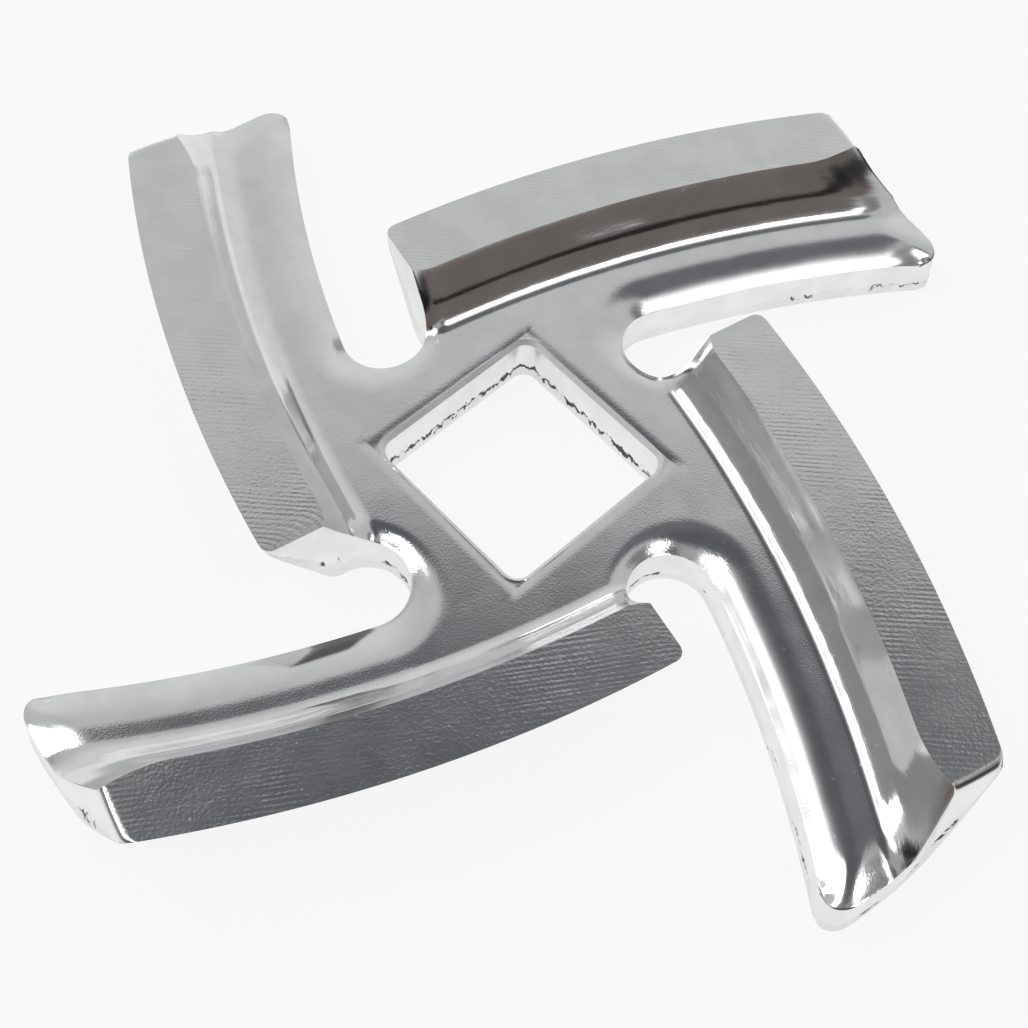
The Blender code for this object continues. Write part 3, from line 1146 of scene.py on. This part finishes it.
@dataclass(frozen=True)
class ShearedFinish(SteelFinish):
    """The cut walls: burnished above, torn below, with a dark line of painted shade where the two meet,
    standing for the shade in the step between them.

    Levels are shares of the way down the wall. The painted shade line is closest at the hole and sparse
    elsewhere.
    """

    # Near-black colour of the painted shade line in the step between the burnished and the torn part.
    step_shade_colour: Triple = (0.06, 0.055, 0.05)
    tear_share: float = 0.7
    tear_swing: float = 0.6
    jag_grain: float = 1.7
    jag_stretch: Triple = (1.0, 1.0, 0.3)
    jag_climb: float = 0.6
    torn_span: Span = (-0.01, 0.03)
    torn_grain: float = 6.0
    torn_depth: float = 0.03
    torn_roughness: float = 0.12
    band_start: Span = (-0.02, 0.01)
    band_end: Span = (0.04, 0.0)
    band_grain: float = 1.3
    band_swing: float = 0.3
    band_least: float = -0.05
    hole_reach: Span = (7.2, 6.6)
    sparse_grain: float = 0.5
    sparse_span: Span = (0.55, 0.62)
    break_grain: float = 2.3
    break_span: Span = (0.42, 0.48)

    def tear_gap(self, layers: SteelLayers) -> Socket:
        """How far a place is below the jagged line between the burnished and the torn part.

        Args:
            layers: the material in the making.

        Returns:
            The distance as a share of the wall.
        """
        sketch = layers.sketch
        run, share = sketch.parts(layers.lanes)
        climb = sketch.product(share, self.jag_climb)
        along = sketch.add("ShaderNodeCombineXYZ", {}, X=run, Y=climb).outputs[0]
        place = sketch.scaled(layers.point, self.jag_stretch)
        moved = sketch.add("ShaderNodeVectorMath", {"operation": "ADD"}, in_0=place, in_1=along).outputs[0]
        jag = sketch.noise(moved, self.jag_grain, Detail.FULL)
        middle = self.tear_share - self.tear_swing / 2
        return sketch.math("SUBTRACT", share, sketch.math("MULTIPLY_ADD", jag, self.tear_swing, middle))

    def where_step_shaded(self, layers: SteelLayers) -> Socket:
        """Mask of the places along the walls that get the painted shade line.

        Args:
            layers: the material in the making.

        Returns:
            The mask.
        """
        sketch, point = layers.sketch, layers.point
        plan = sketch.scaled(point, (1.0, 1.0, 0.0))
        away = sketch.add("ShaderNodeVectorMath", {"operation": "LENGTH"}, in_0=plan).outputs["Value"]
        at_hole = sketch.ramp(away, *self.hole_reach)
        sparse = sketch.ramp(sketch.noise(point, self.sparse_grain, Detail.PLAIN), *self.sparse_span)
        broken = sketch.ramp(sketch.noise(point, self.break_grain, Detail.RICH), *self.break_span)
        return sketch.product(broken, sketch.math("MAXIMUM", at_hole, sparse))

    def marks(self, layers: SteelLayers) -> None:
        """Add the torn zone, and a dark line of painted shade where it meets the burnished part.

        Args:
            layers: the material in the making.
        """
        super().marks(layers)
        sketch, point = layers.sketch, layers.point
        gap = self.tear_gap(layers)
        swing = sketch.noise(point, self.band_grain, Detail.LIGHT)
        width = sketch.math("MULTIPLY_ADD", swing, self.band_swing, self.band_least)
        under = sketch.ramp(sketch.math("SUBTRACT", gap, width), *self.band_end)
        # Mask of a dark line painted as shade along the step between the burnished and the torn part.
        step_shade = sketch.product(sketch.ramp(gap, *self.band_start), under, self.where_step_shaded(layers))
        torn = sketch.ramp(gap, *self.torn_span)
        ragged = sketch.product(sketch.noise(point, self.torn_grain, Detail.FULL), self.torn_depth, torn)
        layers.height = sketch.math("ADD", layers.height, ragged)
        # The painted shade line darkens the colour here.
        layers.colour = sketch.mixed(step_shade, layers.colour, (*self.step_shade_colour, 1.0))
        layers.roughness = sketch.math("MULTIPLY_ADD", torn, self.torn_roughness, layers.roughness)


def sky_direction(azimuth: float, tilt: float) -> Triple:
    """Unit direction at an azimuth from +X towards +Y and a tilt from the vertical, in degrees."""
    turn, lean = math.radians(azimuth), math.radians(tilt)
    return (math.sin(lean) * math.cos(turn), math.sin(lean) * math.sin(turn), math.cos(lean))


def grey(level: float) -> Triple:
    """A grey colour."""
    return (level, level, level)


@dataclass(frozen=True)
class SkyPatch:
    """A soft-edged disc of the surroundings. Angles are in degrees."""

    azimuth: float
    tilt: float
    radius: float
    softness: float
    colour: Triple

    @property
    def direction(self) -> Triple:
        """Unit direction of the patch's middle."""
        return sky_direction(self.azimuth, self.tilt)

    @property
    def edge(self) -> Span:
        """Cosines of the angles at which the patch begins to show and is full."""
        outer, inner = self.radius + self.softness, max(0.0, self.radius - self.softness)
        return math.cos(math.radians(outer)), math.cos(math.radians(inner))


@dataclass(frozen=True)
class SoftBox:
    """A soft box lamp, hung in a direction from the object. Angles are in degrees."""

    name: str
    azimuth: float
    tilt: float
    width: float
    length: float
    brightness: float
    distance: float = 0.5

    @property
    def direction(self) -> Triple:
        """Unit direction of the lamp's middle."""
        return sky_direction(self.azimuth, self.tilt)


@dataclass(frozen=True)
class Studio:
    """Pale floor, soft surroundings and the camera at the photograph's angle.

    The patches are laid over the pale room in their order, a later one over an earlier.
    """

    camera_place: Triple = (-27.413 * MM, -25.482 * MM, 63.124 * MM)
    camera_turn: tuple[float, float, float, float] = (0.901582, 0.230241, -0.110777, -0.349095)
    lens: float = 56.908
    sensor: float = 36.0
    nearest: float = 1.0 * MM
    floor_size: float = 6.0
    floor_drop: float = 0.05 * MM
    floor_colour: Triple = (0.86, 0.86, 0.86)
    floor_roughness: float = 0.9
    floor_glow: float = 0.88
    room: Triple = (0.6, 0.61, 0.61)
    patches: tuple[SkyPatch, ...] = (
        # A pale side, and a darker part beside it.
        SkyPatch(43, 106, 56, 20, (0.78, 0.79, 0.79)),
        SkyPatch(143, 76, 30, 12, grey(0.3)),
        # A dark brownish side, with a row of darker spots on it.
        SkyPatch(-138, 90, 60, 5, (0.16, 0.14, 0.13)),
        SkyPatch(-88, 63, 27, 6, (0.17, 0.148, 0.138)),
        SkyPatch(-107, 66, 7, 3, grey(0.02)),
        SkyPatch(-93, 67, 7, 3, grey(0.02)),
        SkyPatch(-79, 67, 7, 3, grey(0.02)),
        SkyPatch(-65, 66, 8, 4, grey(0.03)),
        # Two spots that are nearly black.
        SkyPatch(176, 38, 7, 4, (0.01, 0.01, 0.012)),
        SkyPatch(-134, 77, 14, 7, (0.01, 0.01, 0.012)),
        # Grey overhead, with a darker spot near its edge.
        SkyPatch(-137, 3, 28, 3, grey(0.45)),
        SkyPatch(-97, 27, 7, 3, grey(0.15)),
        # White spots, and a dark one among them.
        SkyPatch(168, 22, 7, 2, grey(1.8)),
        SkyPatch(112, 31, 5, 2, grey(1.7)),
        SkyPatch(-50, 36, 10, 4, (0.25, 0.24, 0.24)),
        SkyPatch(-34, 16, 5, 2, grey(1.5)),
        SkyPatch(-54, 19, 5, 2, grey(1.6)),
        SkyPatch(-71, 29, 6, 2, grey(1.6)),
        # Dark parts overhead, laid over the grey.
        SkyPatch(-20, 6, 15, 3, (0.11, 0.115, 0.125)),
        SkyPatch(45, 10, 18, 5, (0.11, 0.115, 0.125)),
        SkyPatch(10, 22, 10, 3, (0.16, 0.165, 0.175)),
        # Pale from below up to just over the horizon.
        SkyPatch(0, 180, 91, 1, grey(0.94)),
    )
    boxes: tuple[SoftBox, ...] = (
        SoftBox("left_box", 137, 34, 0.12, 0.32, 4.0),
        SoftBox("right_box", -70, 27, 0.07, 0.1, 5.0),
    )

    def floor_white(self) -> bpy.types.Material:
        """Make the floor's material, which glows for the camera and in mirrored rays.

        Returns:
            The material.
        """
        material = bpy.data.materials.new("floor_white")
        material.use_nodes = True
        sketch, nodes = NodeSketch(material.node_tree), material.node_tree.nodes
        shader = nodes["Principled BSDF"]
        shader.inputs["Base Color"].default_value = (*self.floor_colour, 1.0)
        shader.inputs["Roughness"].default_value = self.floor_roughness
        path = sketch.add("ShaderNodeLightPath", {})
        mirrored = sketch.math("MAXIMUM", path.outputs["Is Glossy Ray"], path.outputs["Is Transmission Ray"])
        seen = sketch.math("MAXIMUM", path.outputs["Is Camera Ray"], mirrored)
        share = sketch.product(seen, self.floor_glow)
        glow = sketch.add("ShaderNodeEmission", {})
        mix = sketch.add("ShaderNodeMixShader", {}, in_0=share, in_1=shader.outputs[0], in_2=glow.outputs[0])
        sketch.plug(nodes["Material Output"].inputs["Surface"], mix.outputs[0])
        return material

    def floor(self) -> None:
        """Make the floor that the knife lies on."""
        half = self.floor_size / 2
        mesh = bpy.data.meshes.new("floor")
        corners = [(-half, -half, 0.0), (half, -half, 0.0), (half, half, 0.0), (-half, half, 0.0)]
        mesh.from_pydata(corners, [], [(0, 1, 2, 3)])
        mesh.materials.append(self.floor_white())
        floor = bpy.data.objects.new("floor", mesh)
        bpy.context.scene.collection.objects.link(floor)
        floor.location.z = -self.floor_drop

    def world(self) -> None:
        """Make the soft surroundings that the steel mirrors: a pale room with the patches over it."""
        world = bpy.data.worlds.new("studio")
        bpy.context.scene.world = world
        world.use_nodes = True
        sketch = NodeSketch(world.node_tree)
        toward = sketch.add("ShaderNodeTexCoord", {}).outputs["Generated"]
        colour = (*self.room, 1.0)
        for patch in self.patches:
            ends = {"in_0": toward, "in_1": patch.direction}
            near = sketch.add("ShaderNodeVectorMath", {"operation": "DOT_PRODUCT"}, **ends).outputs["Value"]
            colour = sketch.mixed(sketch.ramp(near, *patch.edge), colour, (*patch.colour, 1.0))
        sketch.plug(world.node_tree.nodes["Background"].inputs["Color"], colour)

    def lamps(self) -> None:
        """Hang the soft boxes."""
        for box in self.boxes:
            light = bpy.data.lights.new(box.name, "AREA")
            light.shape = "RECTANGLE"
            light.size, light.size_y = box.width, box.length
            light.energy = box.brightness * math.pi * box.width * box.length
            lamp = bpy.data.objects.new(box.name, light)
            bpy.context.scene.collection.objects.link(lamp)
            toward = Vector(box.direction)
            lamp.location = toward * box.distance
            side = Vector((-toward.y, toward.x, 0.0)).normalized()
            turn = Matrix((side, toward.cross(side), toward)).transposed()
            lamp.rotation_mode = "QUATERNION"
            lamp.rotation_quaternion = turn.to_quaternion()

    def camera(self) -> None:
        """Set the camera where the photograph was taken from."""
        data = bpy.data.cameras.new("camera")
        data.lens = self.lens
        data.sensor_width = self.sensor
        data.clip_start = self.nearest
        camera = bpy.data.objects.new("camera", data)
        bpy.context.scene.collection.objects.link(camera)
        camera.location = self.camera_place
        camera.rotation_mode = "QUATERNION"
        camera.rotation_quaternion = Quaternion(self.camera_turn)
        bpy.context.scene.camera = camera

    def build(self) -> None:
        """Set up floor, surroundings, lamps and camera."""
        self.floor()
        self.world()
        self.lamps()
        self.camera()
        bpy.context.scene.view_settings.view_transform = "Standard"


def knife_finishes() -> list[bpy.types.Material]:
    """Make the knife's materials. Their numbers are roughness, skin depth and grain, and wave depth.

    Returns:
        The materials in the order of Surface.
    """
    shared = (TumbledSkin().group(), PressWaves().group())
    bright, under = (0.76, 0.76, 0.765), (0.72, 0.72, 0.725)
    finishes = (
        PressedFinish("pressed_face", bright, 0.1, 0.0022, 13.0, 0.01, *shared),
        GroundFinish("ground_land", bright, 0.13, 0.0035, 8.0, 0.003, *shared),
        ShearedFinish("sheared_wall", grey(0.9), 0.28, 0.004, 3.0, 0.01, *shared),
        GroundFinish("underside", under, 0.25, 0.004, 3.0, 0.01, *shared),
        SteelFinish("broken_edge", grey(0.95), 0.6, 0.003, 6.0, 0.004, *shared),
    )
    return [finish.material() for finish in finishes]


def main() -> None:
    """Build the knife and its surroundings, and report each piece."""
    logging.basicConfig(level=logging.INFO, format="%(name)s: %(message)s")
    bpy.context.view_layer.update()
    knife = PressedKnife()
    body = knife.build()
    knife.dress(knife_finishes())
    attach(body, "root")
    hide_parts("knife")
    log.info("%s: %d faces", body.name, len(body.data.polygons))
    Studio().build()
    log.info("floor, surroundings and camera")


if __name__ == "__main__":
    main()
